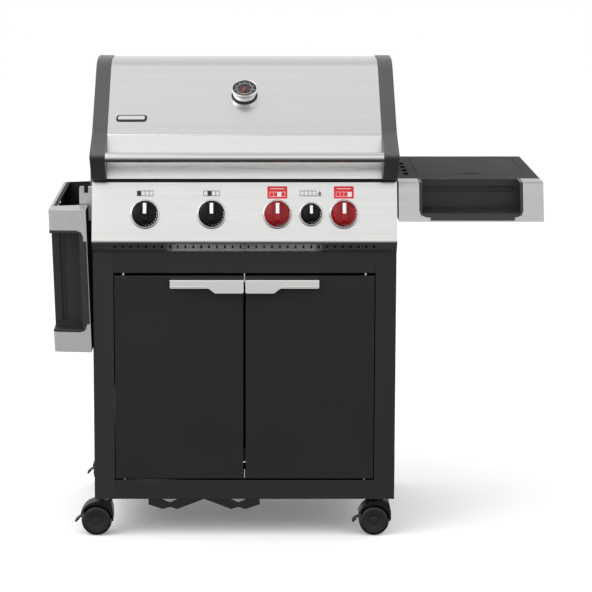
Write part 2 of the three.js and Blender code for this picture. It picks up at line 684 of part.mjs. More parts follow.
// The left table is the same table mirrored, turned down about its pivot.
const pivot = new THREE.Group();
pivot.position.set(LEFT_PIVOT.x, 0, LEFT_PIVOT.z);
pivot.rotation.y = -THREE.MathUtils.degToRad(FOLD_DEG);
grill.add(pivot);
const leftTable = new THREE.Group();
leftTable.position.set(LEFT_PIVOT.u, 0, -LEFT_PIVOT.z);
pivot.add(leftTable);
piece('left_table_top', tableTray(false, true), TABLE_PAINT, leftTable, true);
piece('left_table_rim', tableRim(), BRUSHED, leftTable, true);
piece('left_table_insert', tableInsert(), BLACK_PLASTIC, leftTable, true);
piece('table_bracket_front', tableBracket(92, TABLE.front, 94), ZINC);
piece('table_bracket_rear', tableBracket(507, 508, TABLE.back), ZINC);

// ---------------------------------------------------------------- casters

const SIDEWAYS = new THREE.Vector3(0, 1, 0);

function casterWheel(x, y) {
  const { radius: r, inner, outer } = WHEEL;
  return turned([
    [0, -outer], [r - 9, -outer], [r - 1, -outer + 5], [r, -outer + 9], [r, -inner], [5, -inner],
    [5, inner], [r, inner], [r, outer - 9], [r - 1, outer - 5], [r - 9, outer], [0, outer],
  ], new THREE.Vector3(x - WHEEL.trail, y, r), SIDEWAYS);
}

function arc(radius, fromDeg, toDeg, steps) {
  return spread(fromDeg, (toDeg - fromDeg) / steps, steps + 1)
    .map((deg) => THREE.MathUtils.degToRad(deg))
    .map((a) => [radius * Math.cos(a), radius * Math.sin(a)]);
}

function casterHousing(x, y) {
  const r = WHEEL.radius;
  const centre = x - WHEEL.trail;
  const place = (outline) => outline.map(([u, v]) => [u + centre, v + r]);
  const room = (from, to) => turned([[0, from], [r + 1.2, from], [r + 1.2, to], [0, to]],
    new THREE.Vector3(centre, y, r), SIDEWAYS);
  const hood = place([
    [r + 4, 2], [r + 3.6, 24], [r - 1, 46], [24, 50], [8, 50], [-6, 48], [-20, 42.6], [-30.5, 33.5],
    [-37, 22.5], [-39.2, 17.5], ...arc(r + 1.8, 155, 3, 9),
  ]);
  const web = place([
    [14, -8], [r + 3, -6], [r + 3, 26], [r - 2, 44], [8, 48], [-20, 40], [-30, 30], [-14, 8], [-10, -8],
  ]);
  const top = CART.bottom - GAP;
  return cut(
    join(
      prism(hood, 'y', y - WHEEL.outer - 2, y + WHEEL.outer + 2),
      prism(web, 'y', y - WHEEL.inner + 1.5, y + WHEEL.inner - 1.5),
      rod([x, y, r + 20], [x, y, r + 48], 12),
      rod([x, y, r + 40], [x, y, top], 6),
      box(x - 17, x + 17, y - 17, y + 17, top - 2, top),
    ),
    rod([centre, y - 10, r], [centre, y + 10, r], 5.4),
    room(-WHEEL.outer - 3, -WHEEL.inner + 1.4),
    room(WHEEL.inner - 1.4, WHEEL.outer + 3),
  );
}

function casterBrake(x, y) {
  const centre = x - WHEEL.trail;
  const place = (outline) => outline.map(([u, v]) => [u + centre, v + WHEEL.radius]);
  const arm = place([
    [-29.5, 13], [-33, 14.5], [-37, 12], [-53, -1], [-54, -5], [-51, -6.5], [-40, 4], [-33, 6], [-30, 8],
  ]);
  const paddle = place([[-43, 7], [-53, -1], [-54, -5], [-51, -6.5], [-42.5, 1.7]]);
  return join(prism(arm, 'y', y - 4, y + 4), prism(paddle, 'y', y - 11, y + 11));
}

for (const { name, x, y } of CASTERS) {
  piece(`caster_housing_${name}`, casterHousing(x, y), BLACK_PLASTIC);
  piece(`caster_wheel_${name}`, casterWheel(x, y), WHEEL_RUBBER);
  piece(`caster_brake_${name}`, casterBrake(x, y), BLACK_PLASTIC);
}

// ---------------------------------------------------------------- origin at the middle of the base

grill.updateMatrixWorld(true);
const extent = new THREE.Box3().setFromObject(grill, true);
const middle = extent.getCenter(new THREE.Vector3());
grill.position.set(-middle.x, -middle.y, -extent.min.z);

export default grill;
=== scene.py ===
"""Gas barbecue grill: the finished steel, paint, castings, plastic and printed marks of each part."""

import math

import bmesh
import bpy
from bpy.props import FloatProperty, FloatVectorProperty, PointerProperty
from bpy.types import Operator, Panel, PropertyGroup
from mathutils import Matrix, Vector
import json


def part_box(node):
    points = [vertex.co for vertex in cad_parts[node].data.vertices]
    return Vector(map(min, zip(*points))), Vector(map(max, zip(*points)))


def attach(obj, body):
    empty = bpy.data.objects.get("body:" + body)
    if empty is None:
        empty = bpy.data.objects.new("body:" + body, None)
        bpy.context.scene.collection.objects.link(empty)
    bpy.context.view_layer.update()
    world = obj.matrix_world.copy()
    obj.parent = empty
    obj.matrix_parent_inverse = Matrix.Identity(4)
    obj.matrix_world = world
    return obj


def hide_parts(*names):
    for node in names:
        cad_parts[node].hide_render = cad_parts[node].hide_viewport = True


bl_info = {
    "name": "Gas barbecue grill",
    "version": (1, 0, 0),
    "blender": (4, 5, 0),
    "location": "3D View > Sidebar > Grill",
    "description": "Builds the looks of a gas barbecue grill around its fixed frame",
    "category": "Object",
}

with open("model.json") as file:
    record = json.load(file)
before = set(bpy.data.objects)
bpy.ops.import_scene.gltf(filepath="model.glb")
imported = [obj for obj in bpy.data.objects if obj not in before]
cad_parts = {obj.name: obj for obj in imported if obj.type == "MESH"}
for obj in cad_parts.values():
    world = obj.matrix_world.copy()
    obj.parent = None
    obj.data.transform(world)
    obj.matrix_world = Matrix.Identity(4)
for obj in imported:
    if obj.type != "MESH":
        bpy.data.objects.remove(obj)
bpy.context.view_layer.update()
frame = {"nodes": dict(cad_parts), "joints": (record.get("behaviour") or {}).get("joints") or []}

# ---- places, in millimetres

# Shapes are made in millimetres about the middle of the cart's front, then brought into the frame.
MM = 0.001
CART_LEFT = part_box("side_frame_left")
CART_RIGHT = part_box("side_frame_right")
ORIGIN = Vector(((CART_LEFT[0].x + CART_RIGHT[1].x) / 2, CART_LEFT[0].y, 0))
TO_FRAME = Matrix.Translation(ORIGIN) @ Matrix.Scale(MM, 4)
FROM_FRAME = TO_FRAME.inverted()


def span(node):
    """Lowest and highest corner of a node in millimetres about the cart's front."""
    low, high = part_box(node)
    return FROM_FRAME @ low, FROM_FRAME @ high


def joint(name):
    """A joint's record and its place in millimetres."""
    found = next(j for j in frame["joints"] if j["name"] == name)
    return found, FROM_FRAME @ Vector(found.get("pos_m", (0, 0, 0)))


CART_HALF = span("side_frame_right")[1].x
CART_DEPTH = span("side_frame_right")[1].y
CART_TOP = span("side_frame_right")[1].z
PANEL_HALF = span("control_panel")[1].x
LID_LOW, LID_HIGH = span("lid_cap_left")
CAP_INNER = span("lid_cap_right")[0].x
SKIN_HALF = span("lid_skin")[1].x
DECK = span("right_table_top")[1].z
SHEET = 2

# The control panel's side outline in (y, z), and the vents on each side of its middle.
PANEL_LIP, PANEL_TOP, PANEL_BEND, PANEL_FOOT = (30, 876), (18, 876), (-22, 735), (-2, 708.4)
PANEL_BACK = 71.5
FOOT_LEAN = 126.5  # degrees that the strip with the vents is turned from flat
VENTS, VENT_PITCH, VENT_FIRST = 17, 18.9, 9.5
VENT_WIDTH, VENT_LENGTH = 4.5, 12
# Half length of a black strip behind the vents, painted shade.
VENT_SHADE_HALF = 345

DOOR_CATCHES = ((633, 655), (146, 168))
PLATE_FOOT, PLATE_RIDGE = 806, 832
LARGE_KNOB = 31  # radius
BADGE_LEFT, BADGE_BELOW = -274, 82
GAUGE_Y, GAUGE_HEIGHT = 142, 26
GRIP_START, GRIP_STOP = 64, 292
KNOBS = ("burner_1", "burner_2", "burner_3", "side_burner", "burner_4")
RED_KNOBS = ("burner_3", "burner_4")
CASTERS = ("front_left", "front_right", "rear_left", "rear_right")

# Axis of the knobs: the control panel leans back, its lower edge nearer the user.
KNOB_AXIS = Vector(joint("turn_burner_1")[0]["axis"]).normalized()


# ---- outlines

def rounded(points, radius, steps=6, closed=True):
    """The same outline with its corners turned into arcs; radius is one value or one for each point."""
    radii = radius if isinstance(radius, (list, tuple)) else [radius] * len(points)
    result = []
    for i, point in enumerate(points):
        here = Vector(point)
        end = not closed and i in (0, len(points) - 1)
        back = Vector(points[i - 1]) - here
        ahead = Vector(points[(i + 1) % len(points)]) - here
        if end or radii[i] == 0 or back.angle(ahead) > math.radians(178):
            result.append(tuple(here))
            continue
        half = back.angle(ahead) / 2
        reach = min(radii[i] / math.tan(half), back.length * 0.48, ahead.length * 0.48)
        size = reach * math.tan(half)
        centre = here + (back.normalized() + ahead.normalized()).normalized() * (size / math.sin(half))
        arm = here + back.normalized() * reach - centre
        last = here + ahead.normalized() * reach - centre
        first = math.atan2(arm.y, arm.x)
        sweep = (math.atan2(last.y, last.x) - first + math.pi) % math.tau - math.pi
        for k in range(steps + 1):
            turn = first + sweep * k / steps
            result.append((centre.x + size * math.cos(turn), centre.y + size * math.sin(turn)))
    return result


def arc(radius, start, end, steps, centre=(0, 0)):
    """Points on an arc between two angles in degrees."""
    turns = [math.radians(start + (end - start) * k / steps) for k in range(steps + 1)]
    return [(centre[0] + radius * math.cos(t), centre[1] + radius * math.sin(t)) for t in turns]


def corners(u0, v0, u1, v1):
    """The four corners of an upright rectangle."""
    return [(u0, v0), (u1, v0), (u1, v1), (u0, v1)]


def bezier(points, steps):
    """A quadratic or cubic curve through its end points."""
    result = []
    for k in range(steps + 1):
        row = [Vector(p) for p in points]
        while len(row) > 1:
            row = [a.lerp(b, k / steps) for a, b in zip(row, row[1:])]
        result.append(tuple(row[0]))
    return result


def sheet(line, thickness):
    """The closed outline of a folded sheet of one thickness, to the left of a line."""
    left = []
    for i, point in enumerate(line):
        a = Vector(point) - Vector(line[max(i - 1, 0)])
        b = Vector(line[min(i + 1, len(line) - 1)]) - Vector(point)
        a = (a if i else b).normalized()
        b = (b if i < len(line) - 1 else a).normalized()
        scale = thickness / (1 + a.dot(b))
        left.append((point[0] - (a.y + b.y) * scale, point[1] + (a.x + b.x) * scale))
    return list(line) + left[::-1]


# ---- solids

def slab(outline, axis, low, high):
    """An outline pushed along an axis: [y, z] along x, [x, z] along y, [x, y] along z."""
    place = {
        "x": lambda u, v, w: (w, u, v), "y": lambda u, v, w: (u, w, v), "z": lambda u, v, w: (u, v, w),
    }[axis]
    bm = bmesh.new()
    face = bm.faces.new([bm.verts.new(place(u, v, low)) for u, v in outline])
    grown = bmesh.ops.extrude_face_region(bm, geom=[face], use_keep_orig=True)["geom"]
    top = [item for item in grown if isinstance(item, bmesh.types.BMVert)]
    bmesh.ops.translate(bm, vec=place(0, 0, high - low), verts=top)
    bmesh.ops.remove_doubles(bm, verts=bm.verts, dist=1e-4)
    bmesh.ops.recalc_face_normals(bm, faces=bm.faces)
    return bm


def block(low, high):
    """A box between two corners."""
    bm = bmesh.new()
    low, high = Vector(low), Vector(high)
    size = Matrix.Diagonal((*(high - low), 1))
    bmesh.ops.create_cube(bm, size=1, matrix=Matrix.Translation((low + high) / 2) @ size)
    return bm


def rod(start, end, radius, sides=32):
    """A round bar from one point to another."""
    start, end = Vector(start), Vector(end)
    turn = Vector((0, 0, 1)).rotation_difference(end - start).to_matrix().to_4x4()
    bm = bmesh.new()
    bmesh.ops.create_cone(
        bm, cap_ends=True, segments=sides, radius1=radius, radius2=radius, depth=(end - start).length,
        matrix=Matrix.Translation((start + end) / 2) @ turn,
    )
    return bm


def lathe(profile, steps=56):
    """A profile of (radius, height) spun about the Z axis."""
    bm = bmesh.new()
    verts = [bm.verts.new((r, 0, h)) for r, h in profile]
    edges = [bm.edges.new(pair) for pair in zip(verts, verts[1:])]
    bmesh.ops.spin(bm, geom=verts + edges, axis=(0, 0, 1), cent=(0, 0, 0), angle=math.tau, steps=steps,
                   use_merge=True)
    bmesh.ops.remove_doubles(bm, verts=bm.verts, dist=1e-4)
    bmesh.ops.recalc_face_normals(bm, faces=bm.faces)
    return bm


def ring(profile, steps=56):
    """A closed profile spun into a ring."""
    return lathe(list(profile) + [profile[0]], steps)


def moved(bm, matrix):
    """The same mesh in a new place; a mirrored one gets its faces turned out again."""
    bmesh.ops.transform(bm, matrix=matrix, verts=bm.verts)
    if matrix.determinant() < 0:
        bmesh.ops.reverse_faces(bm, faces=bm.faces)
    return bm


def merged(parts):
    """Several solids as one mesh."""
    whole = bmesh.new()
    for part in parts:
        mesh = bpy.data.meshes.new("part")
        part.to_mesh(mesh)
        part.free()
        whole.from_mesh(mesh)
        bpy.data.meshes.remove(mesh)
    return whole


def copied(node, whole=True):
    """A welded copy of a node's mesh, with its flat faces whole where they have no rows of holes."""
    bm = bmesh.new()
    bm.from_mesh(frame["nodes"][node].data)
    moved(bm, FROM_FRAME)
    bmesh.ops.remove_doubles(bm, verts=bm.verts, dist=2e-3)
    if whole:
        bmesh.ops.dissolve_limit(bm, angle_limit=math.radians(0.6), verts=bm.verts, edges=bm.edges)
    return bm


def soften(bm, chosen, width, segments=4):
    """Rounds the edges that a test picks out."""
    edges = [e for e in bm.edges if chosen(e.verts[0].co, e.verts[1].co)]
    bmesh.ops.bevel(bm, geom=edges, offset=width, offset_type="OFFSET", affect="EDGES", segments=segments,
                    profile=0.5, material=-1, clamp_overlap=True)
    return bm


def flatten(piece):
    """Lets the large faces keep their own normal beside narrow ones."""
    level = piece.modifiers.new("flats", "WEIGHTED_NORMAL")
    level.keep_sharp = True
    level.weight = 100


def added(name, data):
    """A new object in the scene."""
    item = bpy.data.objects.new(name, data)
    bpy.context.scene.collection.objects.link(item)
    return item


def make(name, bm, look, body, replaced=(), edge=0.6, segments=2, sharp=38):
    """Turns a bmesh into a finished piece that rides on a body."""
    moved(bm, TO_FRAME)
    for face in bm.faces:
        face.smooth = True
    mesh = bpy.data.meshes.new(name)
    bm.to_mesh(mesh)
    bm.free()
    mesh.set_sharp_from_angle(angle=math.radians(sharp))
    mesh.materials.append(LOOKS[look])
    piece = added(name, mesh)
    if edge:
        bevel = piece.modifiers.new("edges", "BEVEL")
        bevel.width = edge * MM
        bevel.segments = segments
        bevel.limit_method = "ANGLE"
        bevel.angle_limit = math.radians(sharp - 3)
        bevel.miter_outer = "MITER_ARC"
        flatten(piece)
    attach(piece, body)
    if replaced:
        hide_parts(*replaced)
    return piece


def place_on(place, name, bm, look, body):
    """A small piece brought to its place, without worked edges."""
    return make(name, moved(bm, place), look, body, edge=0)


def refine(node, look, body, edge=0.6, bends=(), segments=2, sharp=38, whole=True):
    """Replaces a node by a copy of itself with worked edges and bends."""
    bm = copied(node, whole)
    for chosen, width in bends:
        soften(bm, chosen, width)
    return make(node + "_finished", bm, look, body, (node,), edge, segments, sharp)


# ---- materials

LOOKS = {}


class Recipe:
    """A Principled material in the making; its patterns lie on object coordinates."""

    def __init__(self, name, colour, roughness, metallic=0.0, **sockets):
        self.material = bpy.data.materials.new(name)
        self.material.use_nodes = True
        self.tree = self.material.node_tree
        self.shader = self.tree.nodes["Principled BSDF"]
        self.colour = tuple(colour)
        self.roughness = roughness
        self.shader.inputs["Base Color"].default_value = (*self.colour, 1)
        self.shader.inputs["Roughness"].default_value = roughness
        self.shader.inputs["Metallic"].default_value = metallic
        for socket, value in sockets.items():
            self.shader.inputs[socket.replace("_", " ")].default_value = value
        self.place = self.tree.nodes.new("ShaderNodeTexCoord").outputs["Object"]
        self.height = None

    def link(self, start, end):
        """Joins an output to an input."""
        self.tree.links.new(start, end)

    def noise(self, scale, stretch=(1, 1, 1), detail=4.0):
        """Noise that a small stretch draws out along an axis."""
        mapping = self.tree.nodes.new("ShaderNodeMapping")
        mapping.inputs["Scale"].default_value = stretch
        self.link(self.place, mapping.inputs["Vector"])
        noise = self.tree.nodes.new("ShaderNodeTexNoise")
        noise.inputs["Scale"].default_value = scale
        noise.inputs["Detail"].default_value = detail
        self.link(mapping.outputs["Vector"], noise.inputs["Vector"])
        return noise.outputs["Fac"]

    def spread(self, source, low, high, near=0.3, far=0.7):
        """Carries the part of a source from near to far over to low and high."""
        node = self.tree.nodes.new("ShaderNodeMapRange")
        node.inputs["From Min"].default_value = near
        node.inputs["From Max"].default_value = far
        node.inputs["To Min"].default_value = low
        node.inputs["To Max"].default_value = high
        self.link(source, node.inputs["Value"])
        return node.outputs["Result"]

    def tint(self, source, amount):
        """Varies the colour about its value."""
        mix = self.tree.nodes.new("ShaderNodeMix")
        mix.data_type = "RGBA"
        mix.inputs["A"].default_value = (*(c * (1 - amount) for c in self.colour), 1)
        mix.inputs["B"].default_value = (*(min(c * (1 + amount), 1) for c in self.colour), 1)
        self.link(self.spread(source, 0, 1), mix.inputs["Factor"])
        self.link(mix.outputs["Result"], self.shader.inputs["Base Color"])
        self.coloured = mix.outputs["Result"]
        return self

    def rub(self, worn, amount):
        """Lightens the corners and edges that get rubbed."""
        edge = self.tree.nodes.new("ShaderNodeNewGeometry").outputs["Pointiness"]
        mix = self.tree.nodes.new("ShaderNodeMix")
        mix.data_type = "RGBA"
        mix.inputs["B"].default_value = (*worn, 1)
        self.link(self.coloured, mix.inputs["A"])
        self.link(self.spread(edge, 0, amount, 0.52, 0.62), mix.inputs["Factor"])
        self.link(mix.outputs["Result"], self.shader.inputs["Base Color"])
        return self

    def gloss(self, source, amount):
        """Varies the roughness about its value."""
        self.link(self.spread(source, self.roughness - amount, self.roughness + amount),
                  self.shader.inputs["Roughness"])
        return self

    def bump(self, source, strength, depth):
        """Adds relief of a depth in millimetres to what is there."""
        bump = self.tree.nodes.new("ShaderNodeBump")
        bump.inputs["Strength"].default_value = strength
        bump.inputs["Distance"].default_value = depth * MM
        self.link(source, bump.inputs["Height"])
        if self.height:
            self.link(self.height, bump.inputs["Normal"])
        self.link(bump.outputs["Normal"], self.shader.inputs["Normal"])
        self.height = bump.outputs["Normal"]
        return self


def grey(tone):
    """A colour without a hue."""
    return (tone, tone, tone)


ALONG_X, ALONG_Z = (0.012, 1, 1), (1, 1, 0.012)


def brushed(name, colour, tone, stretch, roughness=0.3):
    """Steel with long fine grinding lines; tone scales its colour beside the plain sheet, so a tone other
    than 1 makes a copy with painted light or shade.
    """
    recipe = Recipe(name, [tone * c for c in colour], roughness, 1.0)
    lines = recipe.noise(900, stretch, 3)
    bands = recipe.noise(60, stretch, 2)
    cloud = recipe.noise(4, (1, 1, 1), 2)
    recipe.tint(bands, 0.02).gloss(lines, 0.07).bump(lines, 0.05, 0.05).bump(cloud, 0.02, 0.3)
    return recipe


def powder_coat(name, colour, roughness, worn, shine=0.25):
    """Baked paint with a fine orange peel."""
    recipe = Recipe(name, colour, roughness, 0.0, Specular_IOR_Level=shine)
    peel = recipe.noise(700, (1, 1, 1), 3)
    cloud = recipe.noise(5, (1, 1, 1), 3)
    recipe.tint(cloud, 0.07).rub(worn, 0.08).gloss(cloud, 0.05).bump(peel, 0.25, 0.08)
    return recipe


def moulded(name, colour, roughness, grain, shine=0.3):
    """Moulded plastic with a fine spark-eroded grain."""
    recipe = Recipe(name, colour, roughness, Specular_IOR_Level=shine)
    fine = recipe.noise(1100, (1, 1, 1), 2)
    cloud = recipe.noise(12, (1, 1, 1), 3)
    recipe.tint(cloud, 0.1).gloss(cloud, 0.05).bump(fine, grain, 0.08)
    return recipe


def plain(name, colour, roughness, tint, gloss, bump=None, metallic=0.0, **sockets):
    """Tint and gloss are a scale of noise and an amount; bump is a scale, a strength and a depth."""
    recipe = Recipe(name, colour, roughness, metallic, **sockets)
    recipe.tint(recipe.noise(tint[0]), tint[1]).gloss(recipe.noise(gloss[0]), gloss[1])
    if bump:
        recipe.bump(recipe.noise(bump[0]), *bump[1:])
    return recipe


def printed(name, colour):
    """Screen-printed ink."""
    return plain(name, colour, 0.45, (900, 0.06), (300, 0.05))


def make_looks(colours):
    """Fills LOOKS with a material for every look."""
    cast = powder_coat("cast_grey", colours.casting, 0.42, grey(0.2), 0.5)
    cast.bump(cast.noise(240), 0.12, 0.15)
    glass = Recipe("glass", (1, 1, 1), 0.03, IOR=1.2, Transmission_Weight=1.0)
    glass.gloss(glass.noise(80), 0.01)
    recipes = {
        "cart_paint": powder_coat("cart_paint", colours.cart, 0.42, grey(0.12)),
        "steel_across": brushed("steel_across", colours.steel, 1, ALONG_X),
        "steel_bar": brushed("steel_bar", colours.steel, 1, ALONG_X, 0.17),
        "polished": plain("polished_steel", grey(0.66), 0.08, (40, 0.04), (300, 0.03), metallic=1.0),
        "cast_grey": cast,
        # The firebox's near-black paint is painted shade: it darkens the gap under the lid.
        "firebox_painted_shade": powder_coat("firebox_painted_shade", (0.02, 0.02, 0.021), 0.5, grey(0.08)),
        "table_paint": powder_coat("table_paint", colours.table, 0.68, (0.12, 0.11, 0.11), 0.12),
        "plastic": moulded("black_plastic", (0.017, 0.017, 0.018), 0.38, 0.2, 0.4),
        "knob_black": moulded("knob_black", (0.006, 0.006, 0.007), 0.3, 0.08, 0.1),
        "knob_red": moulded("knob_red", colours.red, 0.28, 0.06, 0.25),
        # A lighter, glossier copy of the black plastic: a painted highlight along the grip's lip.
        "plastic_painted_highlight": moulded("plastic_painted_highlight", grey(0.09), 0.25, 0.1, 0.5),
        "hood": moulded("hood_plastic", (0.007, 0.007, 0.008), 0.4, 0.15, 0.15),
        # Copies of the brushed steel at 0.72 and 0.86 times its tone: painted shade on the table rims and
        # trim.
        "steel_painted_shade_across": brushed("steel_painted_shade_across", colours.steel, 0.72, ALONG_X, 0.34),
        "steel_painted_shade_upright": brushed("steel_painted_shade_upright", colours.steel, 0.86, ALONG_Z, 0.34),
        # A copy of the brushed steel at 1.35 times its tone: painted light on the door handles, which the
        # panel above shades.
        "steel_painted_highlight": brushed("steel_painted_highlight", colours.steel, 1.35, ALONG_X),
        "enamel": plain("enamel", (0.012, 0.012, 0.013), 0.22, (20, 0.15), (30, 0.06), (120, 0.05, 0.2),
                        Coat_Weight=0.4),
        "iron": plain("cast_iron", (0.022, 0.022, 0.023), 0.6, (60, 0.2), (40, 0.1), (500, 0.5, 0.3)),
        "zinc": plain("zinc_plate", grey(0.5), 0.35, (80, 0.1), (120, 0.08), (400, 0.08, 0.05),
                      metallic=1.0),
        "wheel": plain("wheel_plastic", (0.01, 0.01, 0.011), 0.3, (25, 0.15), (60, 0.05), (500, 0.06, 0.05),
                       Specular_IOR_Level=0.35),
        "glass": glass,
        "print_white": printed("print_white", grey(0.85)),
        "print_black": printed("print_black", grey(0.004)),
        "print_red": printed("print_red", (0.72, 0.01, 0.02)),
        "print_grey": printed("print_grey", grey(0.13)),
    }
    LOOKS.update({name: recipe.material for name, recipe in recipes.items()})


# ---- settings

def size_setting(name, description, default, least):
    """A setting in millimetres."""
    return FloatProperty(name=name, description=f"{description} in millimetres", default=default, min=least)


def colour_setting(name, description, default):
    """A setting for a colour."""
    return FloatVectorProperty(name=name, description=description, default=default, subtype="COLOR",
                               min=0, max=1)


class GrillSizes(PropertyGroup):
    """Sizes that a user would change"""

    edge: size_setting("Worked edge", "Rounding of sheet edges", 0.6, 0)
    knob_ring: size_setting("Knob ring", "Width of the steel ring round a knob", 4.6, 3)
    grip_width: size_setting("Knob grip", "Thickness of a large knob's grip", 14.0, 4)
    lens: size_setting("Lens", "Focal length of the camera", 143.2, 1)


class GrillColours(PropertyGroup):
    """Colours that a user would change"""

    cart: colour_setting("Cart", "Cabinet paint", (0.0135, 0.0132, 0.0134))
    casting: colour_setting("Castings", "Lid end caps", (0.05, 0.048, 0.0485))
    table: colour_setting("Tables", "Side table tops", (0.03, 0.027, 0.028))
    red: colour_setting("Red knobs", "Knobs of the strong burners", (0.27, 0.004, 0.007))
    steel: colour_setting("Steel", "Brushed steel", (0.6, 0.6, 0.59))


# ---- operators

def upright(a, b):
    """Whether an edge stands upright."""
    return abs(a.x - b.x) < 0.1 and abs(a.y - b.y) < 0.1 and abs(a.z - b.z) > 5


def across(a, b):
    """Whether an edge lies across the grill."""
    return abs(a.z - b.z) < 0.1 and abs(a.y - b.y) < 0.1 and abs(a.x - b.x) > 5


class GRILL_OT_materials(Operator):
    """Make the grill's finishes"""

    bl_idname = "grill.materials"
    bl_label = "Finishes"

    def execute(self, context):
        make_looks(context.scene.grill_colours)
        return {"FINISHED"}


class GRILL_OT_cart(Operator):
    """Work the cabinet's sheet metal, doors and door handles"""

    bl_idname = "grill.cart"
    bl_label = "Cart"

    def execute(self, context):
        edge = context.scene.grill_sizes.edge
        for side in ("left", "right"):
            node = f"side_frame_{side}"
            outer = max(abs(v) for v in (span(node)[0].x, span(node)[1].x))

            def corner(a, b, outer=outer):
                ends = min(a.y, CART_DEPTH - a.y)
                return upright(a, b) and abs(abs(a.x) - outer) < 0.1 and ends < 0.1
            refine(node, "cart_paint", "cart", edge, [(corner, 3)])
            door = span(f"door_{side}")

            def front(a, b, door=door):
                return abs(a.y) < 0.1 and abs(b.y) < 0.1 and abs(a.x - b.x) + abs(a.z - b.z) > 50
            refine(f"door_{side}", "cart_paint", f"{side}_door", edge, [(front, 2)])
            self.handle(side)
            self.pins(side)
        for node in ("front_top_rail", "front_bottom_rail", "base_panel", "back_panel"):
            refine(node, "cart_paint", "cart", edge)
        refine("bottle_cradle", "plastic", "cart", edge)
        for low, high in DOOR_CATCHES:
            make(f"door_catch_{low}", block((-1.3, 3, low), (1.3, 15, high)), "polished", "cart", edge=0.3)
        return {"FINISHED"}

    def handle(self, side):
        """A folded steel pull with a fine hem along its thin end."""
        node = f"door_handle_{side}"
        way = 1 if side == "right" else -1

        def fold(a, b):
            return across(a, b) and abs(a.z - span(node)[1].z) < 0.1 and a.y < -19
        # The pull and its hem take the lighter copy of the brushed steel, a painted highlight.
        refine(node, "steel_painted_highlight", f"{side}_door", 0.5, [(fold, 2)])
        low = span(node)[0]
        hem = rod((way * 92, low.y - 0.4, low.z + 16.5), (way * 176, low.y - 0.4, low.z + 16.5), 1.1, 12)
        make(f"{node}_hem", hem, "steel_painted_highlight", f"{side}_door", edge=0)

    def pins(self, side):
        """Bright hinge pins in the gaps above and below a door."""
        place = joint(f"{side}_door_hinge")[1]
        low, high = span(f"door_{side}")
        pins = [rod((place.x, place.y, low.z + 0.4), (place.x, place.y, low.z + 4.2), 2.9, 16),
                rod((place.x, place.y, high.z - 6.4), (place.x, place.y, high.z - 0.3), 2.9, 16)]
        make(f"door_pins_{side}", merged(pins), "polished", f"{side}_door", edge=0)


class GRILL_OT_cook_box(Operator):
    """Finish the fire box, burners, grates, rack and grease tray"""

    bl_idname = "grill.cook_box"
    bl_label = "Cook box"

    def execute(self, context):
        # The firebox takes a near-black finish as painted shade for the gap under the lid.
        refine("firebox", "firebox_painted_shade", "cart", 0.6, whole=False)
        for i in range(4):
            refine(f"main_burner_{i + 1}", "zinc", "cart", 0)
        for side in ("left", "right"):
            refine(f"cooking_grate_{side}", "iron", "cart", 1.2, whole=False)
        refine("warming_rack", "zinc", "cart", 1.0, whole=False)
        refine("grease_tray", "zinc", "grease_drawer", 0.5)
        self.heat_plates()
        return {"FINISHED"}

    def heat_plates(self):
        """Folded plates that shield the burners from dripping fat."""
        plates = []
        for i in range(4):
            low, high = span(f"main_burner_{i + 1}")
            middle = (low.x + high.x) / 2
            line = rounded([(middle - 52, PLATE_FOOT), (middle - 44, PLATE_FOOT), (middle, PLATE_RIDGE),
                            (middle + 44, PLATE_FOOT), (middle + 52, PLATE_FOOT)], 5, closed=False)
            plates.append(slab(sheet(line, 1.5), "y", 84, 496))
        make("heat_plates", merged(plates), "zinc", "cart", edge=0.3)


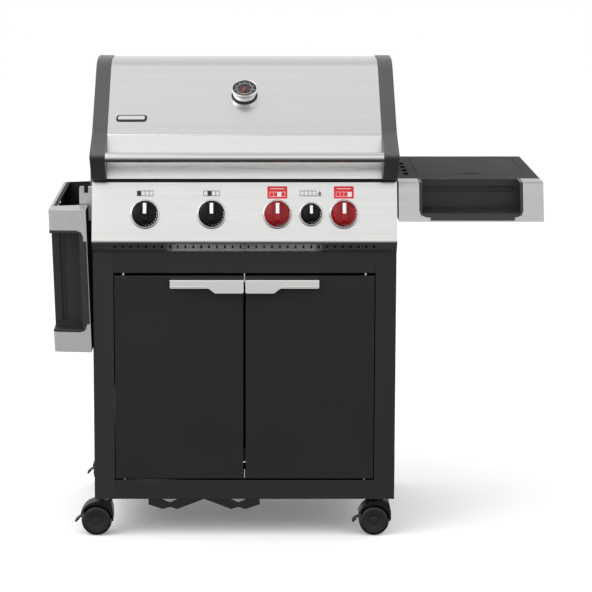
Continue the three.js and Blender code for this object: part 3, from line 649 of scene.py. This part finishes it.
class GRILL_OT_panel(Operator):
    """Finish the control panel, its knob rings and its printed marks"""

    bl_idname = "grill.panel"
    bl_label = "Control panel"

    def execute(self, context):
        ring_width = context.scene.grill_sizes.knob_ring
        panel = make("control_panel_finished", self.plate(), "steel_across", "cart", ("control_panel",), 0)
        wall = panel.modifiers.new("sheet", "SOLIDIFY")
        wall.thickness = SHEET * MM
        wall.use_even_offset = True
        flatten(panel)
        make("control_panel_ends", self.ends(), "steel_across", "cart", edge=0.3)
        refine("gas_manifold", "zinc", "cart", 0.5)
        for name in KNOBS:
            centre, radius = knob_place(name)
            profile = rounded([(radius + 0.9, 0.4), (radius + ring_width, 0.4), (radius + ring_width, 2.4),
                               (radius + 2.6, 7.2), (radius + 0.9, 7.2)], [0.3, 0.8, 1.2, 1.2, 0.4], 4)
            place = panel_frame(centre)
            place_on(place, f"knob_ring_{name}", ring(profile), "polished", "cart")
            self.marks(name, place)
        seam_z = (CART_TOP + PANEL_BEND[1]) / 2
        slot = slab(corners(-0.6, -13, 0.6, 14), "z", 0.1, 0.5)
        lean = Matrix.Translation((0, -12, seam_z)) @ Matrix.Rotation(math.radians(FOOT_LEAN), 4, "X")
        place_on(lean, "panel_seam", slot, "print_black", "cart")
        # A black plastic strip behind the vents is painted shade: it keeps them dark where the lit inside of
        # the panel would show.
        line = [(-19.5, 738), (0.5, 712.5), (1.8, 713.5), (-18.2, 739)]
        make("vent_painted_shade", slab(line, "x", -VENT_SHADE_HALF, VENT_SHADE_HALF), "plastic", "cart", edge=0)
        return {"FINISHED"}

    def plate(self):
        """The folded front, drawn out along its length, with a row of vents in its foot."""
        foot = Vector(PANEL_FOOT)
        reach = (foot - Vector(PANEL_BEND)).normalized() * VENT_LENGTH / 2
        middle = (foot + Vector(PANEL_BEND)) / 2
        bends = [PANEL_LIP, PANEL_TOP, PANEL_BEND, middle - reach, middle + reach, PANEL_FOOT]
        vents = [way * (VENT_FIRST + VENT_PITCH * k) for k in range(VENTS) for way in (-1, 1)]
        sides = [x + way * VENT_WIDTH / 2 for x in vents for way in (-1, 1)]
        stations = sorted([-PANEL_HALF, PANEL_HALF, *sides])
        outline = rounded(bends, [0, 2.5, 9, 0, 0, 0], 8, closed=False)
        bm = bmesh.new()
        line = [bm.verts.new((-PANEL_HALF, y, z)) for y, z in outline]
        front = [bm.edges.new(pair) for pair in zip(line, line[1:])]
        for near, far in zip(stations, stations[1:]):
            grown = bmesh.ops.extrude_edge_only(bm, edges=front)["geom"]
            new = [part for part in grown if isinstance(part, bmesh.types.BMVert)]
            bmesh.ops.translate(bm, vec=(far - near, 0, 0), verts=new)
            front = [part for part in grown if isinstance(part, bmesh.types.BMEdge)
                     and all(vert in new for vert in part.verts)]
        centres = [Vector((x, *middle)) for x in vents]
        cut = [face for face in bm.faces
               if min((face.calc_center_median() - centre).length for centre in centres) < 1]
        bmesh.ops.delete(bm, geom=cut, context="FACES")
        bmesh.ops.recalc_face_normals(bm, faces=bm.faces)
        if max(bm.faces, key=lambda f: f.calc_area()).normal.y > 0:
            bmesh.ops.reverse_faces(bm, faces=bm.faces)
        return bm

    def ends(self):
        """The flanges that close the ends of the folded front."""
        (top_y, top_z), (bend_y, bend_z), (foot_y, foot_z) = PANEL_TOP, PANEL_BEND, PANEL_FOOT
        side = [(top_y + 1.4, top_z - 1), (bend_y + 1.4, bend_z), (foot_y + 1, foot_z + 1),
                (PANEL_BACK, foot_z + 1), (PANEL_BACK, top_z - 1)]
        near, far = PANEL_HALF - SHEET - 0.2, PANEL_HALF - 0.2
        return merged([slab(side, "x", -far, -near), slab(side, "x", near, far)])

    def marks(self, name, place):
        """Four cells above a knob show which burner it works."""
        red = name in RED_KNOBS
        ink = "print_white" if red else "print_grey"
        side_burner = name == "side_burner"
        cell, tall, gap = (8.6, 11.0, 0.7) if red else (8.2, 12.0, 1.4)
        foot = 44.0
        width = 4 * cell + 5 * gap
        left = -width / 2 - (7 if side_burner else 0)
        lines = [flat(left, v, left + width, v + gap) for v in (foot, foot + tall)]
        for k in range(5):
            u = left + k * (cell + gap)
            lines.append(flat(u, foot, u + gap, foot + tall + gap))
        if side_burner:
            lines.append(flat(left + width, foot, left + width + 14, foot + gap))
            flame = [(0, 0), (4, 3), (3.4, 7.5), (0.6, 12.5), (-1, 8.5), (-4, 5)]
            at_u = left + width + 7.5
            lines.append(slab([(at_u + u, foot + 1 + v) for u, v in flame], "z", 0.3, 0.5))
        if red:
            label = slab(rounded(corners(-24, foot - 6, 24, foot + 24), 2.2, 4), "z", 0.05, 0.35)
            place_on(place, f"label_{name}", label, "print_red", "cart")
            lines = [moved(line, Matrix.Translation((0, -1.5, 0.05))) for line in lines]
            lines.append(flat(-17, foot + 17.2, 17, foot + 18.6))
        place_on(place, f"cells_{name}", merged(lines), ink, "cart")
        if not side_burner:
            u = left + (int(name[-1]) - 1) * (cell + gap) + gap
            shift = -1.5 if red else 0
            fill = flat(u, foot + gap + shift, u + cell, foot + tall + shift)
            place_on(place, f"cell_fill_{name}", fill, "print_white" if red else "print_black", "cart")


def flat(u0, v0, u1, v1):
    """A printed bar just proud of the face it lies on."""
    return slab(corners(u0, v0, u1, v1), "z", 0.3, 0.5)


def knob_place(name):
    """The point on the panel face at a knob's axis, and the knob's radius."""
    low, high = span(f"knob_{name}")
    return joint(f"turn_{name}")[1], (high.x - low.x) / 2


def panel_frame(centre):
    """Axes at a knob: X across, Y up the panel, Z out of it."""
    up = Vector((0, KNOB_AXIS.z, -KNOB_AXIS.y))
    turn = Matrix((Vector((1, 0, 0)), up, KNOB_AXIS)).transposed().to_4x4()
    return Matrix.Translation(centre) @ turn


class GRILL_OT_knobs(Operator):
    """Make the knobs with their grips, pointers and scales"""

    bl_idname = "grill.knobs"
    bl_label = "Knobs"

    def execute(self, context):
        grip_width = context.scene.grill_sizes.grip_width
        for name in KNOBS:
            centre, radius = knob_place(name)
            place = panel_frame(centre)
            look = "knob_red" if name in RED_KNOBS else "knob_black"
            width = grip_width * radius / LARGE_KNOB
            half = 0.29 * width
            body = f"knob_{name}"
            dish = rounded([(0, 5.6), (radius, 5.6), (radius, 10), (radius - 3.5, 14.5), (radius - 6, 18),
                            (radius * 0.45, 20.5), (0, 21)], [0, 0.6, 1.5, 2, 3, 8, 0], 5, closed=False)
            side = rounded([(-radius + 2.5, 10), (radius - 0.4, 10), (radius - 1.6, 27), (radius - 7, 31),
                            (-radius + 13, 31), (-radius + 5, 25)], [1, 1, 3, 5, 8, 6], 5)
            grip = slab(side, "x", -width / 2, width / 2)
            place_on(place, f"knob_cap_{name}", lathe(dish), look, body)
            make(f"knob_grip_{name}", moved(grip, place), look, body, (body,), edge=1.6, segments=3)
            bar = slab(rounded(corners(-half, -2, half, radius - 7.5), 0.6, 3), "z", 31.0, 31.35)
            lip = slab(rounded(corners(-half, 27.2, half, 30), 0.4, 2), "y", radius - 1.9, radius - 1.1)
            place_on(place, f"knob_pointer_{name}", merged([bar, lip]), "print_white", body)
            self.scale(name, radius, place)
            refine(f"valve_stem_{name}", "zinc", f"stem_{name}", 0.4)
        return {"FINISHED"}

    def scale(self, name, radius, place):
        """Dashes that grow shorter from a quarter turn to a half turn."""
        dashes = []
        for k in range(7):
            turn = Matrix.Rotation(math.radians(4 - k * 15), 4, "Z")
            size = 2.4 - 0.2 * k
            tilt = Matrix.Translation((radius - 2.2, 0, 13.1)) @ Matrix.Rotation(math.radians(52), 4, "Y")
            dashes.append(moved(slab(corners(-0.75, -size, 0.75, size), "z", 0, 0.35), turn @ tilt))
        place_on(place, f"knob_scale_{name}", merged(dashes), "print_white", f"knob_{name}")


def crown(start, top, back, steps=12):
    """The lid's rounded top in (y, z), from the head of its slope over the top to the back."""
    rise = bezier([start, (start[0] + 32, top[1]), (top[0] - 50, top[1])], steps)
    fall = bezier([top, (top[0] + 92, top[1]), (back[0] - 4, back[1] + 110), back], 2 * steps)
    return rise + fall


LID_FOOT = LID_LOW.z
LID_TOP = LID_HIGH.z
BROW = (31, 989)
HEAD = (213, 1125)
GAUGE_UP = (GAUGE_Y - BROW[0]) / (HEAD[0] - BROW[0]) * math.dist(HEAD, BROW)


def skin_line():
    """The outer line of the lid's steel skin from its back edge to its front foot."""
    line = [(506, 918), *crown(HEAD, (350, LID_TOP - 3), (504, 1005))[::-1], BROW, (2, LID_FOOT)]
    return rounded(line, [0] * (len(line) - 2) + [14, 0], 8, closed=False)


class GRILL_OT_lid(Operator):
    """Make the lid's skin, cast end caps, handle and thermometer"""

    bl_idname = "grill.lid"
    bl_label = "Lid"

    def execute(self, context):
        skin = slab(sheet(skin_line(), SHEET), "x", -SKIN_HALF, SKIN_HALF)
        make("lid_skin_finished", skin, "steel_across", "lid", ("lid_skin",), edge=0.5)
        for side, way in (("left", -1), ("right", 1)):
            self.cap(side, way)
        low, high = span("lid_handle")
        middle = (low + high) / 2
        radius = (high.z - low.z) / 2
        bar = rod((low.x, 0, 0), (high.x, 0, 0), radius, 48)
        moved(bar, Matrix.Translation((0, middle.y, middle.z - 1.5)) @ Matrix.Diagonal((1, 1, 1.14, 1)))
        make("lid_handle_bar", bar, "steel_bar", "lid", ("lid_handle",), edge=0.5)
        self.thermometer()
        place = lid_frame(BADGE_LEFT, BADGE_BELOW)
        back = slab(rounded([(-39, -11), (36, -11), (40, 11), (-34, 11)], 8, 6), "z", 0.3, 1.6)
        face = slab(rounded([(-34, -6.5), (31.5, -6.5), (34, 6.5), (-30, 6.5)], 5, 6), "z", 1.5, 3.2)
        make("badge_back", moved(back, place), "print_black", "lid", edge=0.3)
        make("badge_face", moved(face, place), "polished", "lid", edge=0.5)
        return {"FINISHED"}

    def cap(self, side, way):
        """A cast end with softly rounded outer corners."""
        outline = [
            (-14, LID_FOOT), (500, LID_FOOT), (503, 900), (509, 918),
            *crown((215, 1129), (350, LID_TOP), (507, 1005))[::-1], (32, 993), (-78, 952), (-75, 943),
        ]
        radii = [4, 2, 0, 0] + [0] * (len(outline) - 7) + [24, 6, 5]
        body = slab(rounded(outline, radii, 6), "x", way * CAP_INNER, way * CART_HALF)

        def outer(a, b):
            return abs(abs(a.x) - CART_HALF) < 0.01 and abs(abs(b.x) - CART_HALF) < 0.01
        soften(body, outer, 5, 4)
        make(f"lid_cap_{side}_finished", body, "cast_grey", "lid", (f"lid_cap_{side}",), edge=1.2)
        pin = joint("lid_hinge")[1]
        head = rod((way * (CART_HALF - 0.2), pin.y, pin.z), (way * (CART_HALF + 3.5), pin.y, pin.z), 6.5, 6)
        make(f"lid_bolt_{side}", head, "zinc", "lid", edge=0.5)

    def thermometer(self):
        """A round dial in a polished case that stands square on the skin."""
        place = lid_frame(0, 0)
        low, high = span("thermometer")
        radius = (high.x - low.x) / 2
        height = GAUGE_HEIGHT
        case = [(0, 0.3), (radius - 5, 0.3), (radius - 4, 3), (radius - 2.4, height - 8),
                (radius, height - 4), (radius - 0.8, height), (radius - 3.2, height - 0.4),
                (radius - 4.4, height - 3.6), (0, height - 3.6)]
        case = rounded(case, [0, 1.5, 4, 2, 1.6, 1.2, 1.2, 0.4, 0], 4, closed=False)
        make("thermometer_case", moved(lathe(case), place), "polished", "lid", ("thermometer",), edge=0)
        dial = lathe([(0, height - 3.4), (radius - 4.5, height - 3.4), (radius - 4.5, height - 3.1),
                      (0, height - 3.1)])
        place_on(place, "thermometer_dial", dial, "print_black", "lid")
        marks = [ring(corners(18.2, height - 3.0, 18.8, height - 2.8))]
        for k in range(9):
            turn = Matrix.Rotation(math.radians(225 - k * 33.75), 4, "Z")
            marks.append(moved(slab(corners(21.5, -0.5, 24.5, 0.5), "z", height - 3.0, height - 2.8), turn))
        place_on(place, "thermometer_marks", merged(marks), "print_white", "lid")
        gasket = ring(corners(radius - 6, 0.1, radius - 0.6, 1.6))
        place_on(place, "thermometer_gasket", gasket, "print_black", "lid")
        pointer = slab([(-5, -1.1), (19, -0.4), (19, 0.4), (-5, 1.1)], "z", height - 2.6, height - 2.2)
        boss = rod((0, 0, height - 3), (0, 0, height - 1.7), 2.6, 24)
        turn = Matrix.Rotation(math.radians(252), 4, "Z")
        place_on(place, "thermometer_pointer", merged([moved(pointer, turn), boss]), "print_red", "lid")
        lens = lathe(rounded([(0, height - 1.5), (radius - 5, height - 1.5), (radius - 5, height - 0.9),
                              (0, height - 0.7)], [0, 0.1, 0.1, 0], 2, closed=False))
        place_on(place, "thermometer_lens", lens, "glass", "lid")
        stem = rod((0, 0, -60), (0, 0, 0.2), 3, 16)
        make("thermometer_stem", moved(stem, place), "zinc", "lid", edge=0.4)


def lid_frame(x, below):
    """Axes on the lid's sloping front: X across, Y up the slope, Z out of it."""
    up = Vector((0, HEAD[0] - BROW[0], HEAD[1] - BROW[1])).normalized()
    out = Vector((1, 0, 0)).cross(up)
    seat = Vector((x, BROW[0], BROW[1])) + up * (GAUGE_UP - below)
    turn = Matrix((Vector((1, 0, 0)), up, out)).transposed().to_4x4()
    return Matrix.Translation(seat) @ turn


class GRILL_OT_tables(Operator):
    """Finish the side tables, their grips, the side burner and the folding brackets"""

    bl_idname = "grill.tables"
    bl_label = "Side tables"

    def execute(self, context):
        edge = context.scene.grill_sizes.edge
        # Each rim takes a darker copy of the brushed steel, painted shade.
        for side, body, steel in (("right", "cart", "steel_painted_shade_across"), ("left", "left_table", "steel_painted_shade_upright")):
            place = table_frame(side)
            back = place.inverted()

            def top_edge(a, b, back=back):
                a, b = back @ a, back @ b
                return abs(a.z - DECK) < 0.2 and abs(b.z - DECK) < 0.2 and (a - b).length > 100
            self.top(side, body, back, top_edge, edge)

            def outer_edge(a, b, back=back):
                a, b = back @ a, back @ b
                return max(abs(a.x - TABLE_OUTER), abs(b.x - TABLE_OUTER)) < 0.2 and (a - b).length > 3
            refine(f"{side}_table_rim", steel, body, 0.7, [(outer_edge, 3)], segments=3)
            refine(f"{side}_table_insert", "plastic", body, 1.4, segments=3)
            self.ribs(side, body, place)
        refine("side_burner", "enamel", "cart", 0.8)
        refine("side_burner_grate", "iron", "cart", 1.4, segments=3)
        refine("side_burner_cover", "table_paint", "burner_cover", 0.5)
        for end in ("front", "rear"):
            refine(f"table_bracket_{end}", "zinc", "cart", 0.5)
        return {"FINISHED"}

    def top(self, side, body, back, top_edge, edge):
        """A table's pan, with its deck thinned to the real sheet."""
        bm = copied(f"{side}_table_top")
        for vert in bm.verts:
            place = back @ vert.co
            if abs(place.z - (DECK - SHEET)) < 0.2:
                place.z = DECK - 1
                vert.co = back.inverted() @ place
        soften(bm, top_edge, 1.6)
        make(f"{side}_table_top_finished", bm, "table_paint", body, (f"{side}_table_top",), edge)

    def ribs(self, side, body, place):
        """A grip's ribs, a lip in lighter plastic as a painted highlight, a black sheet behind its slot as
        painted shade, a trim along the table's inner end, and screws at the back.
        """
        floor = [(-1, 803.7), (63, 808.5), (63, 806.2), (-1, 801.4)]
        ribs = [slab(floor, "x", u, u + 2.8) for u in range(66, 290, 7)]
        make(f"{side}_grip_ribs", moved(merged(ribs), place), "plastic", body, edge=0.8)
        # A black sheet behind the grip's slot is painted shade.
        shade_sheet = block((GRIP_START, 83.3, 836), (GRIP_STOP, 84.7, 862))
        place_on(place, f"{side}_grip_painted_shade", shade_sheet, "print_black", body)
        # A rod of lighter plastic along the lip is a painted highlight.
        lip = rod((GRIP_START, 76.2, 815), (GRIP_STOP, 76.2, 815), 1.4, 16)
        place_on(place, f"{side}_grip_painted_highlight", lip, "plastic_painted_highlight", body)
        # The trim takes the darker copy of the brushed steel, painted shade.
        trim = block((3.5, 86, DECK - 8), (3.9, 518, DECK - 1))
        place_on(place, f"{side}_table_trim", trim, "steel_painted_shade_across", body)
        screws = [rod((u, 514, 835), (u, 511.4, 835), 4.2, 24) for u in (70, 200, 300)]
        make(f"{side}_table_screws", moved(merged(screws), place), "polished", body, edge=0.8)


TABLE_OUTER = span("right_table_top")[1].x - CART_HALF
PIVOT_OUT = 21  # distance of the folding pivot from the cart's side


def table_frame(side):
    """From a table pointing right of the cart's side to its place at rest."""
    if side == "right":
        return Matrix.Translation((CART_HALF, 0, 0))
    fold, pivot = joint("left_table_fold")
    pivot = Vector((pivot.x, 0, pivot.z))
    turn = Matrix.Rotation(-math.radians(fold["range_deg"][1]), 4, "Y")
    return (Matrix.Translation(pivot) @ turn @ Matrix.Translation((PIVOT_OUT, 0, -pivot.z))
            @ Matrix.Diagonal((-1, 1, 1, 1)))


class GRILL_OT_casters(Operator):
    """Make the casters' hoods, twin wheels, stems and brake levers"""

    bl_idname = "grill.casters"
    bl_label = "Casters"

    def execute(self, context):
        for name in CASTERS:
            axle = joint(f"roll_{name}")[1]
            stem = joint(f"swivel_{name}")[1]
            self.wheel(name, axle)
            self.hood(name, axle, stem)
            refine(f"caster_brake_{name}", "plastic", f"brake_{name}", 1.2, segments=3)
        return {"FINISHED"}

    def wheel(self, name, axle):
        """Two glossy domed discs on one axle."""
        r = axle.z
        face = rounded([(0, 22.6), (9, 22.6), (9.8, 21.8), (12, 21.8), (12.6, 22.9), (r - 5, 24.6),
                        (r - 0.6, 17), (r, 12), (r, 7), (r - 2, 6), (0, 6)],
                       [0, 0.8, 0.4, 0.4, 0.6, 7, 4, 3, 1, 0.5, 0], 5, closed=False)
        halves = []
        for way in (-1, 1):
            turn = Matrix.Rotation(-way * math.pi / 2, 4, "X")
            halves.append(moved(lathe(face, 64), Matrix.Translation(axle) @ turn))
        axis = rod((axle.x, axle.y - 8, axle.z), (axle.x, axle.y + 8, axle.z), 5, 24)
        wheel = merged([*halves, axis])
        node = f"caster_wheel_{name}"
        make(f"{node}_finished", wheel, "wheel", f"wheel_{name}", (node,), edge=0)

    def hood(self, name, axle, stem):
        """A hood over the wheels with a web between them, and the steel stem above it."""
        r = axle.z
        outer = rounded([(r + 4, 2), (r + 3.6, 24), (r - 1, 46), (24, 50), (8, 50), (-6, 48), (-20, 42.6),
                         (-30.5, 33.5), (-37, 22.5), (-39.2, 17.5)],
                        [0, 30, 7, 14, 30, 30, 30, 30, 30, 0], 4, closed=False)
        inner = arc(r + 1.8, 155, 3, 28)
        hood = slab([(axle.x + u, axle.z + v) for u, v in outer + inner], "y", axle.y - 24, axle.y + 24)
        web_line = [(14, -8), (r + 3, -6), (r + 3, 26), (r - 2, 44), (8, 48), (-20, 40), (-30, 30),
                    (-14, 8), (-10, -8)]
        web = slab([(axle.x + u, axle.z + v) for u, v in web_line], "y", axle.y - 4.4, axle.y + 4.4)
        collar = rod((stem.x, stem.y, r + 36), (stem.x, stem.y, r + 47), 11, 40)
        body = f"swivel_{name}"
        make(f"caster_hood_{name}", hood, "hood", body, (f"caster_housing_{name}",), edge=2.2, segments=4)
        make(f"caster_web_{name}", merged([web, collar]), "hood", body, edge=0.8)
        top = span(f"caster_housing_{name}")[1].z
        plate = rounded(corners(-17, -17, 17, 17), 4, 4)
        mount = slab([(stem.x + u, stem.y + v) for u, v in plate], "z", top - 2.2, top)
        post = rod((stem.x, stem.y, r + 46), (stem.x, stem.y, top - 1), 6, 32)
        make(f"caster_stem_{name}", merged([mount, post]), "polished", body, edge=0.4)


# Name, place, size, watts and target of each softbox, in metres about the grill's middle.
LAMPS = (
    ("key", (-2.6, -1.6, 3.6), (4.0, 4.0), 100, (0, 0, 0.7)),
    ("fill", (3.0, -1.2, 2.6), (4.0, 4.0), 35, (0, 0, 0.7)),
    ("overhead", (-0.15, 0.35, 2.0), (1.5, 0.9), 1.2, (-0.15, 0.35, 0)),
    ("front", (-0.2, -2.6, 1.95), (2.6, 0.9), 3.4, (-0.15, 0, 0.8)),
)

# Tones of the sky along one axis of its direction, from -1 to 1.
SKY_HEIGHT = ((-1.0, 0.04), (-0.6, 0.12), (-0.3, 0.5), (0.0, 0.98), (0.2, 1.0), (0.4, 0.9), (0.6, 1.0),
              (0.9, 0.85), (1.0, 0.8))
SKY_SIDES = ((-1.0, 0.2), (-0.6, 0.1), (-0.25, 0.0), (1.0, 0.0))
SKY_REAR = ((0.5, 1.0), (0.68, 0.7), (0.86, 0.96), (0.94, 1.0))

CAMERA_DISTANCE, CAMERA_HEIGHT, CAMERA_PITCH = 5.6, 1.640, 8.796
CAMERA_SHIFT = (0.087, -0.12)
FLOOR_HALF = 40


class GRILL_OT_stage(Operator):
    """Set the floor, the light and the camera"""

    bl_idname = "grill.stage"
    bl_label = "Stage"

    def execute(self, context):
        scene = context.scene
        scene.view_settings.view_transform = "Standard"
        bm = bmesh.new()
        bmesh.ops.create_grid(bm, x_segments=1, y_segments=1, size=FLOOR_HALF)
        mesh = bpy.data.meshes.new("floor")
        bm.to_mesh(mesh)
        bm.free()
        pale = Recipe("pale_floor", grey(0.96), 0.7, Emission_Strength=0.12)
        pale.tint(pale.noise(3), 0.01)
        mesh.materials.append(pale.material)
        floor = added("floor", mesh)
        floor.visible_diffuse = False
        floor.visible_glossy = False
        self.world(scene)
        for lamp in LAMPS:
            self.lamp(*lamp)
        self.camera(scene)
        return {"FINISHED"}

    def world(self, scene):
        """A soft sky: tones by height, a glow from the left, and a dimmer band behind the lid."""
        world = bpy.data.worlds.new("studio")
        world.use_nodes = True
        scene.world = world
        nodes, links = world.node_tree.nodes, world.node_tree.links
        back = nodes["Background"]
        split = nodes.new("ShaderNodeSeparateXYZ")
        links.new(nodes.new("ShaderNodeTexCoord").outputs["Generated"], split.inputs["Vector"])
        height = self.ramp(nodes, links, split.outputs["Z"], SKY_HEIGHT)
        sides = self.ramp(nodes, links, split.outputs["X"], SKY_SIDES)
        rear = self.ramp(nodes, links, split.outputs["Y"], SKY_REAR)
        total = nodes.new("ShaderNodeVectorMath")
        links.new(height, total.inputs[0])
        links.new(sides, total.inputs[1])
        dimmed = nodes.new("ShaderNodeVectorMath")
        dimmed.operation = "MULTIPLY"
        links.new(total.outputs["Vector"], dimmed.inputs[0])
        links.new(rear, dimmed.inputs[1])
        links.new(dimmed.outputs["Vector"], back.inputs["Color"])

    def ramp(self, nodes, links, source, tones):
        """Grey tones along one axis of the sky."""
        spread = nodes.new("ShaderNodeMapRange")
        spread.inputs["From Min"].default_value = -1
        links.new(source, spread.inputs["Value"])
        ramp = nodes.new("ShaderNodeValToRGB")
        links.new(spread.outputs["Result"], ramp.inputs["Fac"])
        stops = ramp.color_ramp.elements
        while len(stops) < len(tones):
            stops.new(0.5)
        for stop, (place, tone) in zip(stops, tones):
            stop.position = (place + 1) / 2
            stop.color = (tone, tone, tone, 1)
        return ramp.outputs["Color"]

    def lamp(self, name, place, size, power, target):
        """A rectangular softbox aimed at a point."""
        data = bpy.data.lights.new(name, "AREA")
        data.shape = "RECTANGLE"
        data.size, data.size_y = size
        data.energy = power
        lamp = added(name, data)
        lamp.location = place
        lamp.visible_camera = False
        aim = Vector(target) - Vector(place)
        lamp.rotation_euler = aim.to_track_quat("-Z", "Y").to_euler()

    def camera(self, scene):
        """Stands straight in front of the cabinet and looks a little down on it."""
        data = bpy.data.cameras.new("camera")
        data.lens = scene.grill_sizes.lens
        data.sensor_width = 36
        data.shift_x, data.shift_y = CAMERA_SHIFT
        data.clip_end = 100
        camera = added("camera", data)
        camera.location = ORIGIN + Vector((0, -CAMERA_DISTANCE, CAMERA_HEIGHT))
        camera.rotation_euler = (math.radians(90 - CAMERA_PITCH), 0, 0)
        scene.camera = camera


STEPS = (GRILL_OT_materials, GRILL_OT_cart, GRILL_OT_cook_box, GRILL_OT_panel, GRILL_OT_knobs,
         GRILL_OT_lid, GRILL_OT_tables, GRILL_OT_casters, GRILL_OT_stage)


class GRILL_PT_sidebar(Panel):
    """Lists the steps that build the grill"""

    bl_idname = "GRILL_PT_sidebar"
    bl_label = "Gas barbecue grill"
    bl_space_type = "VIEW_3D"
    bl_region_type = "UI"
    bl_category = "Grill"

    def draw(self, context):
        for group in (context.scene.grill_sizes, context.scene.grill_colours):
            for name in group.__annotations__:
                self.layout.prop(group, name)
        for step in STEPS:
            self.layout.operator(step.bl_idname)


CLASSES = (GrillSizes, GrillColours, *STEPS, GRILL_PT_sidebar)


def register():
    for item in CLASSES:
        bpy.utils.register_class(item)
    bpy.types.Scene.grill_sizes = PointerProperty(type=GrillSizes)
    bpy.types.Scene.grill_colours = PointerProperty(type=GrillColours)


def unregister():
    del bpy.types.Scene.grill_sizes
    del bpy.types.Scene.grill_colours
    for item in reversed(CLASSES):
        bpy.utils.unregister_class(item)


def main():
    """Builds the grill step by step."""
    register()
    for step in STEPS:
        group, name = step.bl_idname.split(".")
        getattr(getattr(bpy.ops, group), name)()


if __name__ == "__main__":
    main()
